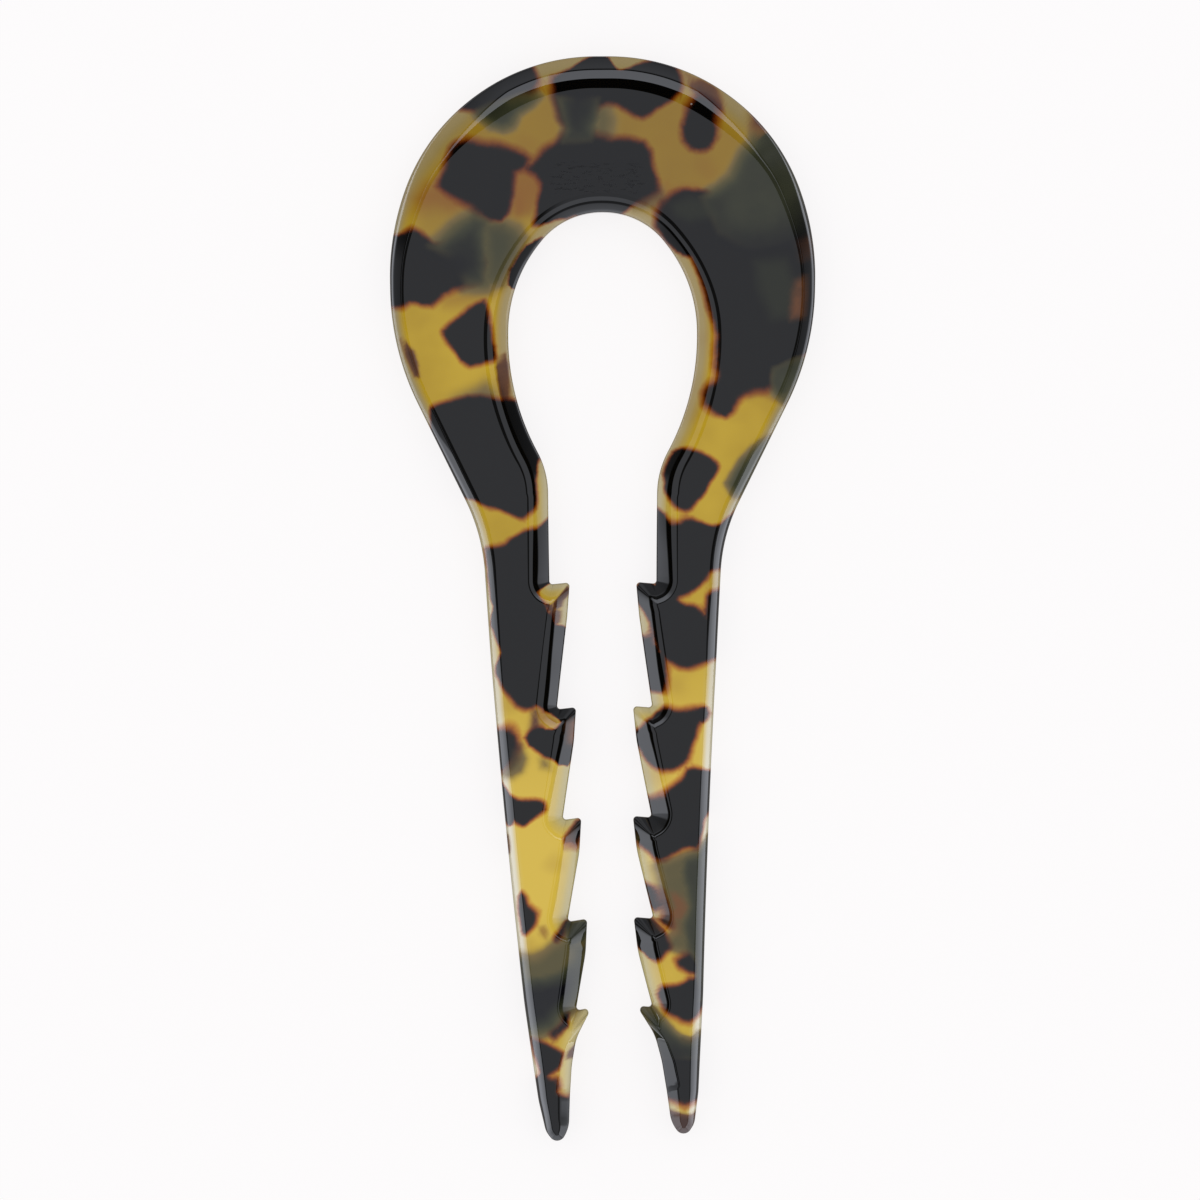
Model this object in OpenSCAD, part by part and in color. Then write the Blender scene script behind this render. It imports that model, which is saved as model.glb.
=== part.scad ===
// French hair pin of tortoiseshell-coloured acetate.
// One flat piece: a wide open head, a neck, and two prongs whose inner edges
// carry five barbs each. Both faces are flat and all edges slope down to the
// rim, with a scooped hollow at the foot of each barb.
// It lies on its back: +Z is up and out of the front face, +Y runs from the
// prong tips to the top of the head, and the origin is the middle of the
// base of the whole outline.

/* [Pin] */
// Length from the prong tips to the top of the head
pin_l = 114.5; // [100:0.5:130]
// Thickness of the pin
thick = 4.2; // [3.4:0.1:5.2]
// How far the tips lean to one side of the head's middle line
lean = 1.7; // [-2.5:0.1:2.5]

/* [Head] */
// Width of the head at its widest
head_w = 45; // [44:0.2:47]
// Width of the hole in the head at its widest
hole_w = 20; // [18.6:0.2:21]
// Gap between the prongs at the neck
neck_gap = 11.5; // [10.9:0.1:12.1]

/* [Barbs] */
// Radius that rounds the tip of each barb
barb_r = 0.38; // [0.26:0.02:0.44]
// Radius in the corner above each barb
notch_r = 0.34; // [0.22:0.03:0.4]
// How far the scooped hollow reaches down from each barb's top edge
scoop_d = 3.4; // [3.3:0.1:3.7]
// How far the scooped hollow reaches into the prong
scoop_w = 2.15; // [1.9:0.05:2.3]

/* [Edges] */
// Width of the slope along the crown of the head
crown_slope = 3.5; // [2.6:0.1:3.8]
// Width of the slope along the sides of the hole
hole_slope = 2.7; // [1.8:0.1:3]
// Width of the slope along the neck's inner edge
neck_slope = 2.3; // [1.8:0.1:2.5]
// Width of the slope along the prongs' outer edge
prong_slope = 1.15; // [0.9:0.05:1.3]
// Height of the upright band round the rim
rim_h = 1.5; // [0.8:0.1:1.8]
// How much narrower the slopes are on the back, as a share of the front's
back_share = 0.6; // [0.55:0.05:0.9]

/* [Hidden] */
ref_l = 114.5;          // length at which the tables below are written
arc_step = 5.5;         // degrees between two points of a rounded corner
max_run = 6;            // longest straight run between two points
bend_y = 67.6;          // height above the tips where the lean begins
bend_l = 63.4;          // length over which it reaches its full amount
hw = head_w / 2;
hx = hole_w / 2;
nx = neck_gap / 2;

// Every row below is a corner of the right half, going clockwise:
// down the outside of head and prong, round the tip, up the inside to the hole.
// A corner row is [across, up, radius, slope width after it, flat corner],
// where the flat corner is undef if the flat keeps the slope's distance,
// or else [across, up, radius] of the flat's own corner.

// across,  up,   radius, slope
outer_rows = [
  [ 7.6,      114.5, 21.6, crown_slope],
  [18.8,      106.5, 20.9, crown_slope * 0.68],
  [hw + 0.05,  95.5, 27.0, 1.5],
  [hw - 0.15,  83.5, 28.3, 1.45],
  [12.7,       63.9, 19.5, prong_slope + 0.1],
  [11.95,      51.3, 60.0, prong_slope],
  [ 9.45,      14.8, 60.0, prong_slope * 0.9],
  [ 8.45,       4.6,  9.0, 0.85],
  [ 7.85,       1.3,  2.1, 0.7],
  [ 6.65,      -0.4,  0.88, 0.75],
  [ 5.4,        1.5,  3.4, 1.1],
  [ 5.12,       4.8, 12.0, 1.5],
];

// The sweep from the tip out to the lowest barb.
// across, up,  radius, flat's corner: across, up, radius
sweep_rows = [
  [4.75,  8.1, 12.0, 6.35, 7.4, 9.0],
  [4.15, 10.9,  6.0, 5.9,  9.4, 2.0],
];

// The barbs, lowest first.
// tip across, tip up, notch across, notch up
barb_rows = [
  [2.40, 14.00, 4.05, 13.78],
  [2.45, 23.40, 4.55, 23.15],
  [2.72, 34.10, 4.72, 33.88],
  [3.00, 45.75, 5.05, 45.55],
  [3.50, 58.90, nx - 0.1, 58.70],
];

// The hole, from the neck up to its top.
// across, up, radius, slope
hole_rows = [
  [nx + 0.03, 70.6,  9.5, hole_slope - 0.1],
  [hx,        78.6, 25.8, hole_slope],
  [hx - 0.05, 90.5, 15.0, hole_slope * 0.8],
  [4.1,       98.0,  8.2, 2.1],
];

// The cut through the edge: [share of the slope's width, share of the height].
rim = rim_h / thick / 2;
edge_rows = [
  [back_share, 0],
  [0.03, 0.5 - rim - 0.03],
  [0,    0.5 - rim + 0.08],
  [0,    0.5 + rim],
  [0.1,  0.5 + rim + 0.09],
  [0.5,  0.945],
  [1,    1],
];

function barb_corners(k) =
  let (b = barb_rows[k], low = k == 0, top = k == len(barb_rows) - 1,
       flat_x = low ? 5.42 : b[0] + 2.45,
       flat_y = b[1] - (low ? 3.35 : scoop_d))
  concat(
    low ? [] : [[b[0] + 0.3, b[1] - 3.6, 12, undef, [flat_x - 0.03, flat_y - 1.5, 5]]],
    [[b[0], b[1], barb_r, undef, [flat_x, flat_y, 0.3]],
     [b[2], b[3], notch_r, top ? neck_slope : undef,
      [low ? 6.0 : b[2] + scoop_w, b[3] - 2.0, 1.5]]]);

right_half = concat(
  [for (r = outer_rows) [r[0], r[1], r[2], r[3], undef]],
  [for (r = sweep_rows) [r[0], r[1], r[2], undef, [r[3], r[4], r[5]]]],
  [for (k = [0 : len(barb_rows) - 1]) each barb_corners(k)],
  [for (r = hole_rows) [r[0], r[1], r[2], r[3], undef]]);

// The left half is the right one mirrored and walked backwards.
last = len(right_half) - 1;
corners = concat(right_half,
  [for (i = [last : -1 : 0]) let (r = right_half[i], f = r[4])
    [-r[0], r[1], r[2], i > 0 ? right_half[i - 1][3] : crown_slope,
     is_undef(f) ? undef : [-f[0], f[1], f[2]]]]);
count = len(corners);

function at(i) = corners[(i + count) % count];
function xy(r) = [r[0], r[1]];
function unit(v) = v / norm(v);
function inward(u) = [u[1], -u[0]];
function slope_in(i) = is_undef(at(i - 1)[3]) ? at(i)[3] : at(i - 1)[3];
function slope_out(i) = is_undef(at(i)[3]) ? at(i - 1)[3] : at(i)[3];
function ease(f) = f * f * (3 - 2 * f);

// The flat's own corner that goes with corner i.
function flat_corner(i) =
  let (b = at(i))
  !is_undef(b[4]) ? [b[4][0], b[4][1]] :
  let (n1 = inward(unit(xy(b) - xy(at(i - 1)))),
       n2 = inward(unit(xy(at(i + 1)) - xy(b))),
       m = unit(n1 + n2))
  xy(b) + m * (slope_in(i) + slope_out(i)) / 2 / (m * n1);

// Points of the arc that rounds corner b between a and c, each with the
// direction from the edge into the flat.
function round_corner(a, b, c, r, k) =
  let (u = unit(a - b), v = unit(c - b),
       half = acos(max(-1, min(1, u * v))) / 2,
       t = r / tan(half),
       mid = b + unit(u + v) * r / sin(half),
       p0 = b + u * t - mid, p1 = b + v * t - mid,
       a0 = atan2(p0[1], p0[0]), a1 = atan2(p1[1], p1[0]),
       d = ((a1 - a0 + 540) % 360) - 180,
       side = u[1] * v[0] - u[0] * v[1] < 0 ? 1 : -1)
  [for (j = [0 : k]) let (w = a0 + d * j / k, e = [cos(w), sin(w)])
    [mid + e * r, -e * side]];

// A corner's radius, cut down where its arc would meet the next one's.
function reach(i) =
  let (u = unit(xy(at(i - 1)) - xy(at(i))), v = unit(xy(at(i + 1)) - xy(at(i))))
  at(i)[2] / tan(acos(max(-1, min(1, u * v))) / 2);
function room(i) = 0.995 * norm(xy(at(i + 1)) - xy(at(i))) / (reach(i) + reach(i + 1));
function fitted(i) = at(i)[2] * min(1, room(i - 1), room(i));

function steps(i) =
  let (u = unit(xy(at(i)) - xy(at(i - 1))), v = unit(xy(at(i + 1)) - xy(at(i))),
       turn = abs(atan2(u[0] * v[1] - u[1] * v[0], u * v)))
  !is_undef(at(i)[4]) ? (at(i)[2] < 1 ? 5 : 3) : max(1, ceil(turn / arc_step));

// Pairs [edge point, flat point] for corner i.
function corner_pairs(i) =
  let (b = at(i), k = steps(i),
       edge = round_corner(xy(at(i - 1)), xy(b), xy(at(i + 1)), fitted(i), k))
  !is_undef(b[4])
    ? let (flat = round_corner(flat_corner(i - 1), flat_corner(i), flat_corner(i + 1), b[4][2], k))
      [for (j = [0 : k]) [edge[j][0], flat[j][0]]]
    : [for (j = [0 : k]) let (w = slope_in(i) + (slope_out(i) - slope_in(i)) * ease(j / k))
        [edge[j][0], edge[j][0] + edge[j][1] * w]];

all_corners = [for (i = [0 : count - 1]) corner_pairs(i)];

// The whole closed outline, with long runs divided.
pairs = [for (i = [0 : count - 1])
  let (a = all_corners[i], e = a[len(a) - 1], s = all_corners[(i + 1) % count][0],
       m = max(1, ceil(norm(s[0] - e[0]) / max_run)))
  each concat(a, m < 2 ? [] : [for (j = [1 : m - 1]) e + (s - e) * j / m])];
n = len(pairs);

// The lean bends the prongs sideways below the neck.
function leaned(p) =
  let (t = max(0, bend_y - p[1]) / bend_l)
  [p[0] + lean * t * t, p[1] + p[0] * lean * 2 * t / bend_l] * pin_l / ref_l;

edge_loop = [for (p = pairs) leaned(p[0])];
flat_loop = [for (p = pairs) leaned(p[1])];
xs = [for (p = edge_loop) p[0]];
ys = [for (p = edge_loop) p[1]];
centre = [(min(xs) + max(xs)) / 2, (min(ys) + max(ys)) / 2];

// The flats are filled with a strip of triangles between two runs of the
// outline: the outer one from the left tip over the head to the right tip,
// and the inner one from the left tip round the hole to the right tip.
function lowest(side) =
  let (low = min([for (p = pairs) if (p[1][0] * side > 0) p[1][1]]))
  [for (i = [0 : n - 1]) if (pairs[i][1][0] * side > 0 && pairs[i][1][1] == low) i][0];
tip_r = lowest(1);
tip_l = lowest(-1);
outer_run = concat([for (i = [tip_l : n - 1]) i], [for (i = [0 : tip_r]) i]);
inner_run = [for (i = [tip_l : -1 : tip_r]) i];

// True where the strip's next triangle takes its new point from the outer run.
function outer_next(p, o, i) =
  o > len(outer_run) - 2 ? false :
  i > len(inner_run) - 2 ? true :
  norm(p[outer_run[o + 1]] - p[inner_run[i]]) < norm(p[outer_run[o]] - p[inner_run[i + 1]]);

function strip(p) =
  [for (o = 1, i = 0, out = outer_next(p, o, i);
        o + i < len(outer_run) + len(inner_run) - 3;
        o = o + (out ? 1 : 0), i = i + (out ? 0 : 1), out = outer_next(p, o, i))
    out ? [outer_run[o], outer_run[o + 1], inner_run[i]]
        : [outer_run[o], inner_run[i + 1], inner_run[i]]];

module pin() {
  rows = len(edge_rows);
  loops = [for (r = edge_rows) [for (i = [0 : n - 1])
    edge_loop[i] + (flat_loop[i] - edge_loop[i]) * r[0] - centre]];
  color([0.74, 0.58, 0.22])
  polyhedron(
    points = [for (k = [0 : rows - 1]) for (p = loops[k])
      [p[0], p[1], edge_rows[k][1] * thick]],
    faces = concat(
      [for (f = strip(loops[0])) [f[2], f[1], f[0]]],
      [for (f = strip(loops[rows - 1])) f + [1, 1, 1] * (rows - 1) * n],
      [for (k = [0 : rows - 2]) for (i = [0 : n - 1])
        let (a = k * n + i, b = k * n + (i + 1) % n)
        each [[a, b, b + n], [a, b + n, a + n]]]),
    convexity = 12);
}

pin();
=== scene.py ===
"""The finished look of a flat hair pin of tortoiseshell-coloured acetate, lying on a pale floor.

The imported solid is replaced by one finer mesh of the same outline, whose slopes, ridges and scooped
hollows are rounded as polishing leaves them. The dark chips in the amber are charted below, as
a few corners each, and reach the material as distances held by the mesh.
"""

import math

import bpy
import numpy as np
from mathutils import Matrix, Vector, kdtree, noise
from mathutils.geometry import delaunay_2d_cdt


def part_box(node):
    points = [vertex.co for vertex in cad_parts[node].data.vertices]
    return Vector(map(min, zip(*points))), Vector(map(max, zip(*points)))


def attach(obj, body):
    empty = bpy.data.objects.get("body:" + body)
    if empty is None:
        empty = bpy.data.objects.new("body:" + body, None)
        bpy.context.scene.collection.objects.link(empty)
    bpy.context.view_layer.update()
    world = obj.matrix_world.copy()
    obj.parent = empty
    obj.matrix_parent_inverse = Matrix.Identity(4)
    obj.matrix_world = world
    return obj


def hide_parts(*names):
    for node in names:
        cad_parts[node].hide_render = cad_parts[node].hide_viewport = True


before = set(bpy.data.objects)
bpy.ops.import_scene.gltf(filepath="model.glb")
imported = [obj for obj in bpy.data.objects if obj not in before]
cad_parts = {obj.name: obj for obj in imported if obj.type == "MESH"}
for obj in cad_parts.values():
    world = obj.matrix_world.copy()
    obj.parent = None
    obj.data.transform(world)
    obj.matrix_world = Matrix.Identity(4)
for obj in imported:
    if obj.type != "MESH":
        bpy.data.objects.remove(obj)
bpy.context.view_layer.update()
scene = bpy.context.scene

# ---------------------------------------------------------------- outline
# The same named sizes and tables as the solid's own source, in millimetres: x across from the head's
# middle line, y up from the prong tips.
LEAN, BEND_Y, BEND_L = 1.7, 67.6, 63.4
HEAD_W, HOLE_W, NECK_GAP = 45.0, 20.0, 11.5
BARB_R, NOTCH_R, RIDGE, SCOOP_W = 0.38, 0.34, 2.4, 2.35
CROWN, HOLE, NECK, PRONG = 3.5, 2.7, 2.3, 1.15
THICK = 4.2
BACK_SHARE = 0.6
hw, hx, nx = HEAD_W / 2, HOLE_W / 2, NECK_GAP / 2

OUTER = [  # across, up, radius, slope width after it
    (7.6, 114.5, 21.6, CROWN + 0.05),
    (18.8, 106.5, 20.9, CROWN * 0.68),
    (hw + 0.05, 95.5, 27.0, 1.5),
    (hw - 0.15, 83.5, 28.3, 1.45),
    (12.7, 63.9, 19.5, PRONG + 0.1),
    (11.95, 51.3, 60.0, PRONG),
    (9.45, 14.8, 60.0, PRONG),
    (8.45, 4.6, 9.0, 0.90),
    (7.85, 1.3, 2.1, 0.72),
    (6.65, -0.4, 0.88, 0.75),
    (5.4, 1.5, 3.4, 1.32),
    (5.12, 4.8, 12.0, 1.6),
]
SWEEP = [  # across, up, radius, then the flat's corner: across, up, radius
    (4.75, 8.1, 12.0, 6.32, 7.8, 6.0),
    (4.15, 10.9, 6.0, 5.62, 9.95, 1.2),
]
BARBS = [  # tip across, tip up, notch across, notch up, lowest first
    (2.40, 14.00, 4.05, 13.78),
    (2.45, 23.40, 4.55, 23.15),
    (2.72, 34.10, 4.72, 33.88),
    (3.00, 45.75, 5.05, 45.55),
    (3.50, 58.90, nx - 0.1, 58.70),
]
HOLE_ROWS = [  # across, up, radius, slope width after it
    (nx + 0.03, 70.6, 9.5, HOLE - 0.1),
    (hx, 78.6, 25.8, HOLE),
    (hx - 0.05, 90.5, 15.0, HOLE * 0.8),
    (4.1, 98.0, 8.2, 2.1),
]


class Corner:
    """A corner of the outline. flat is where the flat's own corner lies, or at a notch or belly the
    slope's width there is fixed by wide."""

    def __init__(self, x, y, r, slope=None, flat=None, kind="", wide=None):
        self.p, self.r, self.slope, self.flat, self.kind, self.wide = np.array([x, y], float), r, slope, flat, kind, wide

    def mirrored(self, slope):
        flat = None if self.flat is None else (-self.flat[0], *self.flat[1:])
        return Corner(-self.p[0], self.p[1], self.r, slope, flat, self.kind, self.wide)


def right_half():
    rows = [Corner(*row) for row in OUTER]
    rows += [Corner(x, y, r, None, (fx, fy, fr), "sweep") for x, y, r, fx, fy, fr in SWEEP]
    for k, (tx, ty, qx, qy) in enumerate(BARBS):
        low, top = k == 0, k == len(BARBS) - 1
        ridge_end = (4.85, 11.3) if low else (tx + RIDGE - 0.05, ty - RIDGE - 0.1)
        if not low:
            rows.append(Corner(tx + 0.3, ty - 3.6, 12.0, None, None, "belly", RIDGE - 0.1))
        rows.append(Corner(tx, ty, BARB_R, None, ridge_end, "tip"))
        rows.append(Corner(qx, qy, NOTCH_R, NECK if top else None, None, "notch", SCOOP_W - (0.2 if low else 0.0)))
    rows += [Corner(*row) for row in HOLE_ROWS]
    return rows


right = right_half()
corners = right + [c.mirrored(right[i - 1].slope if i else CROWN) for i, c in reversed(list(enumerate(right)))]
count = len(corners)


def at(i):
    return corners[i % count]


def unit(v):
    return v / np.hypot(*v)


def slope_in(i):
    return at(i).slope if at(i - 1).slope is None else at(i - 1).slope


def slope_out(i):
    return at(i - 1).slope if at(i).slope is None else at(i).slope


def flat_corner(i):
    """The flat's own corner that goes with corner i."""
    b = at(i)
    if b.flat is not None:
        return np.array(b.flat[:2])
    u1, u2 = unit(b.p - at(i - 1).p), unit(at(i + 1).p - b.p)
    n1, n2 = np.array([u1[1], -u1[0]]), np.array([u2[1], -u2[0]])
    m = unit(n1 + n2)
    return b.p + m * (slope_in(i) + slope_out(i)) / 2 / (m @ n1)


def round_corner(a, b, c, r, k):
    """Points of the arc that rounds corner b between a and c, each with the direction into the flat."""
    u, v = unit(a - b), unit(c - b)
    half = math.acos(max(-1, min(1, u @ v))) / 2
    mid = b + unit(u + v) * r / math.sin(half)
    p0, p1 = b + u * r / math.tan(half) - mid, b + v * r / math.tan(half) - mid
    a0, a1 = math.atan2(p0[1], p0[0]), math.atan2(p1[1], p1[0])
    d = (a1 - a0 + 3 * math.pi) % (2 * math.pi) - math.pi
    side = 1 if u[1] * v[0] - u[0] * v[1] < 0 else -1
    out = []
    for j in range(k + 1):
        e = np.array([math.cos(a0 + d * j / k), math.sin(a0 + d * j / k)])
        out.append((mid + e * r, -e * side))
    return out


def reach(i):
    u, v = unit(at(i - 1).p - at(i).p), unit(at(i + 1).p - at(i).p)
    return at(i).r / math.tan(math.acos(max(-1, min(1, u @ v))) / 2)


def fitted(i):
    room = [0.995 * np.hypot(*(at(j + 1).p - at(j).p)) / (reach(j) + reach(j + 1)) for j in (i - 1, i)]
    return at(i).r * min(1, *room)


RUN = 0.42  # longest step along the outline


def ridge_end(i):
    """The flat's corner at the end of the ridge that goes with the notch at corner i."""
    return np.array(next(c.flat for c in (at(i - 1), at(i + 1)) if c.kind == "tip")[:2])


def corner_pairs(i):
    """[edge point, flat point] for the points of corner i."""
    b, r = at(i), fitted(i)
    u, v = unit(b.p - at(i - 1).p), unit(at(i + 1).p - b.p)
    turn = abs(math.atan2(u[0] * v[1] - u[1] * v[0], u @ v))
    k = {"tip": 10, "notch": 16, "belly": 5, "sweep": 6}.get(b.kind) or max(2, math.ceil(turn * r / RUN), math.ceil(math.degrees(turn) / 3))
    edge = round_corner(at(i - 1).p, b.p, at(i + 1).p, r, k)
    if b.kind == "tip":
        return [(p, np.array(b.flat[:2])) for p, _ in edge]
    if b.kind == "notch":
        # the slope turns round the notch as a cone, up to the ridge of the barb
        end, side = ridge_end(i), math.copysign(1, b.p[0])
        return [(p, end if (p + n * b.wide)[0] * side < end[0] * side else p + n * b.wide) for p, n in edge]
    if b.flat is not None:
        flat = round_corner(flat_corner(i - 1), flat_corner(i), flat_corner(i + 1), b.flat[2], k)
        return [(edge[j][0], flat[j][0]) for j in range(k + 1)]
    out = []
    for j, (p, n) in enumerate(edge):
        f = j / k
        w = b.wide or slope_in(i) + (slope_out(i) - slope_in(i)) * f * f * (3 - 2 * f)
        out.append((p, p + n * w))
    return out


pairs, inner, even = [], [], []
for i in range(count):
    here, there = corner_pairs(i), corner_pairs(i + 1)
    pairs += here
    even += [at(i).kind == ""] * len(here)
    e, s = here[-1], there[0]
    length, flat_length = np.hypot(*(s[0] - e[0])), np.hypot(*(s[1] - e[1]))
    m = max(1, math.ceil(length / RUN))
    for j in range(1, m):
        f = g = j / m
        # below a barb the slope stays straight, and what is left of it fans out from the ridge's end
        if at(i + 1).kind == "tip" and at(i).kind == "belly":
            g = min(1, f * length / max(flat_length, 1e-6))
        elif at(i).kind == "tip" and at(i + 1).kind == "belly":
            g = max(0, 1 - (1 - f) * length / max(flat_length, 1e-6))
        pairs.append((e[0] + (s[0] - e[0]) * f, e[1] + (s[1] - e[1]) * g))
    inside = len(OUTER) - 3 <= i < count - len(OUTER) + 3
    inner += [inside] * (len(pairs) - len(inner))
    even += [at(i).kind == "" and at(i + 1).kind == ""] * (len(pairs) - len(even))
n = len(pairs)
inner = np.array(inner)


def evened(values, where, reach):
    """Values averaged with their neighbours along the loop, among those where it is allowed."""
    out, k = values.copy(), where.astype(float)
    for _ in range(2):
        total, weight = np.zeros(n), np.zeros(n)
        for s in range(-reach, reach + 1):
            total += np.roll(out * k, s)
            weight += np.roll(k, s)
        out = np.where(where, total / np.maximum(weight, 1), out)
    return out


# the slope's width changes slowly along the plain parts of the outline
even = np.array(even)
edge_xy = np.array([p[0] for p in pairs])
cross = np.array([p[1] for p in pairs]) - edge_xy
wide = np.maximum(np.hypot(*cross.T), 1e-6)
cross *= (evened(wide, even, 6) / wide)[:, None]
pairs = [(p, p + c) for p, c in zip(edge_xy, cross)]
share_in = np.convolve(np.concatenate([inner[-12:], inner, inner[:12]]).astype(float), np.ones(25) / 25, "valid")


def leaned(p):
    t = max(0.0, BEND_Y - p[1]) / BEND_L
    return np.array([p[0] + LEAN * t * t, p[1] + p[0] * LEAN * 2 * t / BEND_L])


edge_loop = np.array([leaned(p[0]) for p in pairs])
flat_loop = np.array([leaned(p[1]) for p in pairs])
# the row's frame: the middle of the outline's box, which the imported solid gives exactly
low, high = edge_loop.min(0), edge_loop.max(0)
centre = (low + high) / 2
cad_low, cad_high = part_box("pin")
fit = min((cad_high[0] - cad_low[0]) * 1000 / (high[0] - low[0]), (cad_high[1] - cad_low[1]) * 1000 / (high[1] - low[1]), 1.0) * 0.9999


# ---------------------------------------------------------------- cut through the edge
def fillet(points, radii, steps):
    """A line of (across, up) points with its inner corners rounded, as a list of points."""
    out = [points[0]]
    for k in range(1, len(points) - 1):
        a, b, c = points[k - 1], points[k], points[k + 1]
        u, v = a - b, c - b
        lu, lv = math.hypot(*u), math.hypot(*v)
        t = min(radii[k - 1], lu * 0.48, lv * 0.48)
        p, q = b + u / lu * t, b + v / lv * t
        for j in range(steps[k - 1] + 1):
            f = j / steps[k - 1]
            out.append(p * (1 - f) ** 2 + b * 2 * f * (1 - f) + q * f * f)
    out.append(points[-1])
    return out


MID = THICK / 2
# How the slope is shaped at each height above the tips. From the rim to the flat it is a strip, the
# slope itself, a crease, a step and a shoulder: each one's share of the width, and its tilt in degrees.
CUT_OUTSIDE = [  # up, strip, tilt, slope's tilt, crease, step, tilt, shoulder, tilt
    (112.0, 0.06, 43.5, 34, 0.04, 0.24, 11.5, 0.33, 5.0),
    (109.5, 0.07, 43.5, 34, 0.04, 0.14, 11.5, 0.26, 5.0),
    (105.0, 0.12, 43.5, 33, 0.05, 0.04, 11.5, 0.14, 5.0),
    (98.0, 0.27, 43.5, 30, 0.04, 0.02, 12.0, 0.14, 5.5),
    (78.0, 0.27, 43.5, 30, 0.05, 0.02, 12.0, 0.16, 6.0),
    (69.0, 0.40, 43.5, 41, 0.05, 0.02, 12.0, 0.26, 6.0),
    (60.0, 0.40, 43.4, 43.2, 0.05, 0.02, 12.0, 0.18, 6.0),
    (46.0, 0.40, 43.4, 43.2, 0.03, 0.02, 12.0, 0.05, 6.0),
    (32.0, 0.40, 43.6, 43.4, 0.03, 0.02, 12.0, 0.04, 6.0),
    (0.0, 0.40, 44.2, 44.0, 0.03, 0.02, 12.0, 0.04, 6.0),
]
CUT_INSIDE = [
    (99.0, 0.14, 42, 33, 0.12, 0.24, 11.5, 0.18, 5.0),
    (93.0, 0.12, 42, 33, 0.12, 0.20, 12.0, 0.16, 5.5),
    (76.0, 0.12, 42, 32, 0.13, 0.22, 12.0, 0.13, 5.5),
    (69.0, 0.12, 41, 38, 0.19, 0.28, 12.0, 0.07, 5.5),
    (60.0, 0.10, 41, 41, 0.22, 0.28, 12.0, 0.05, 5.5),
    (55.0, 0.10, 41, 41, 0.17, 0.24, 12.0, 0.06, 5.5),
    (42.0, 0.10, 41, 41, 0.15, 0.22, 12.0, 0.05, 5.5),
    (34.0, 0.10, 41, 41, 0.13, 0.06, 12.0, 0.05, 5.5),
    (14.0, 0.10, 41, 41, 0.13, 0.04, 12.0, 0.05, 5.5),
    (11.0, 0.30, 38.5, 37.5, 0.05, 0.04, 12.0, 0.06, 6.0),
    (5.0, 0.30, 38.5, 37.5, 0.05, 0.03, 12.0, 0.05, 6.0),
    (0.0, 0.30, 38.5, 38.0, 0.04, 0.02, 12.0, 0.04, 6.0),
]
CREASE_TILT = 20
FLAT_RUN = 0.09  # the slope ends this far before the flat's own loop
ROUNDS = ((0.10, 4), (0.10, 2), (0.09, 3), (0.05, 2), (0.06, 2), (0.05, 2))  # reach and steps of each rounded corner
REAR_ROUNDS = ((0.14, 4), (0.16, 4))


def rise(width, tilt):
    return width * math.tan(math.radians(tilt))


def cut(w, shape):
    """Points (distance from the outline, height above the middle) of the front's slope, w wide."""
    strip, t1, t2, crease, step, t3, shoulder, t4 = shape
    slope = 1 - strip - crease - step - shoulder
    used = w - FLAT_RUN
    widths = [share * used for share in (strip, slope, crease, step, shoulder)]
    rises = [rise(a, b) for a, b in zip(widths, (t1, t2, CREASE_TILT, t3, t4))]
    d, z = 0.0, MID - sum(rises)
    line = [np.array([0, 0.0]), np.array([0, z])]
    for a, b in zip(widths, rises):
        d, z = d + a, z + b
        line.append(np.array([d, z]))
    line.append(np.array([w, z]))
    return fillet(line, [r for r, _ in ROUNDS], [k for _, k in ROUNDS])


def rear_cut(w):
    w = w * BACK_SHARE
    drop = min(1.15, 0.9 * w)
    return fillet([np.array([0, 0.0]), np.array([0, MID - drop]), np.array([w - 0.12, MID]), np.array([w, MID])],
                  [r for r, _ in REAR_ROUNDS], [k for _, k in REAR_ROUNDS])


# the width that a slope is cut for is measured square to the outline
along = np.roll(edge_loop, -1, 0) - np.roll(edge_loop, 1, 0)
across = np.column_stack([along[:, 1], -along[:, 0]]) / np.hypot(*along.T)[:, None]
widths = np.maximum(((flat_loop - edge_loop) * across).sum(1), 0.3)
low_inside = inner & (np.array([p[0][1] for p in pairs]) < 60)
widths = np.where(low_inside, np.minimum(widths, RIDGE), widths)
widths = evened(widths, np.ones(n, bool), 1)
ups = np.array([p[0][1] for p in pairs])


def shapes(table):
    rows_ = np.array(table)[::-1]
    return np.stack([np.interp(ups, rows_[:, 0], rows_[:, c]) for c in range(1, rows_.shape[1])], 1)


shape_rows = shapes(CUT_OUTSIDE) + (shapes(CUT_INSIDE) - shapes(CUT_OUTSIDE)) * share_in[:, None]
# cut and polished by hand, so its lines waver a little
run = np.concatenate([[0], np.cumsum(np.hypot(*np.diff(edge_loop, axis=0).T))])
lap = run[-1] + np.hypot(*(edge_loop[0] - edge_loop[-1]))
turn, ring = run / lap * math.tau, lap / math.tau
waver = np.array([[noise.noise((math.cos(a) * ring / q, math.sin(a) * ring / q, k * 7.3)) for k, q in enumerate((12, 7, 14, 18, 9))] for a in turn])
waver *= np.interp(ups, [50, 64, 84], [1.0, 0.7, 0.22])[:, None]
shape_rows[:, 2] += 0.7 * waver[:, 0]
shape_rows[:, 3] *= 1 + 0.8 * waver[:, 1]
shape_rows[:, 4] *= 1 + 0.8 * waver[:, 2]
shape_rows[:, 5] += 0.8 * waver[:, 3]
shape_rows[:, 6] *= 1 + 0.6 * waver[:, 4]
front = np.array([cut(w, s) for w, s in zip(widths, shape_rows)])
rear = np.array([rear_cut(w) for w in widths])
LIP = 2 + ROUNDS[0][1] // 2  # row in the middle of the rounded top of the rim


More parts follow.
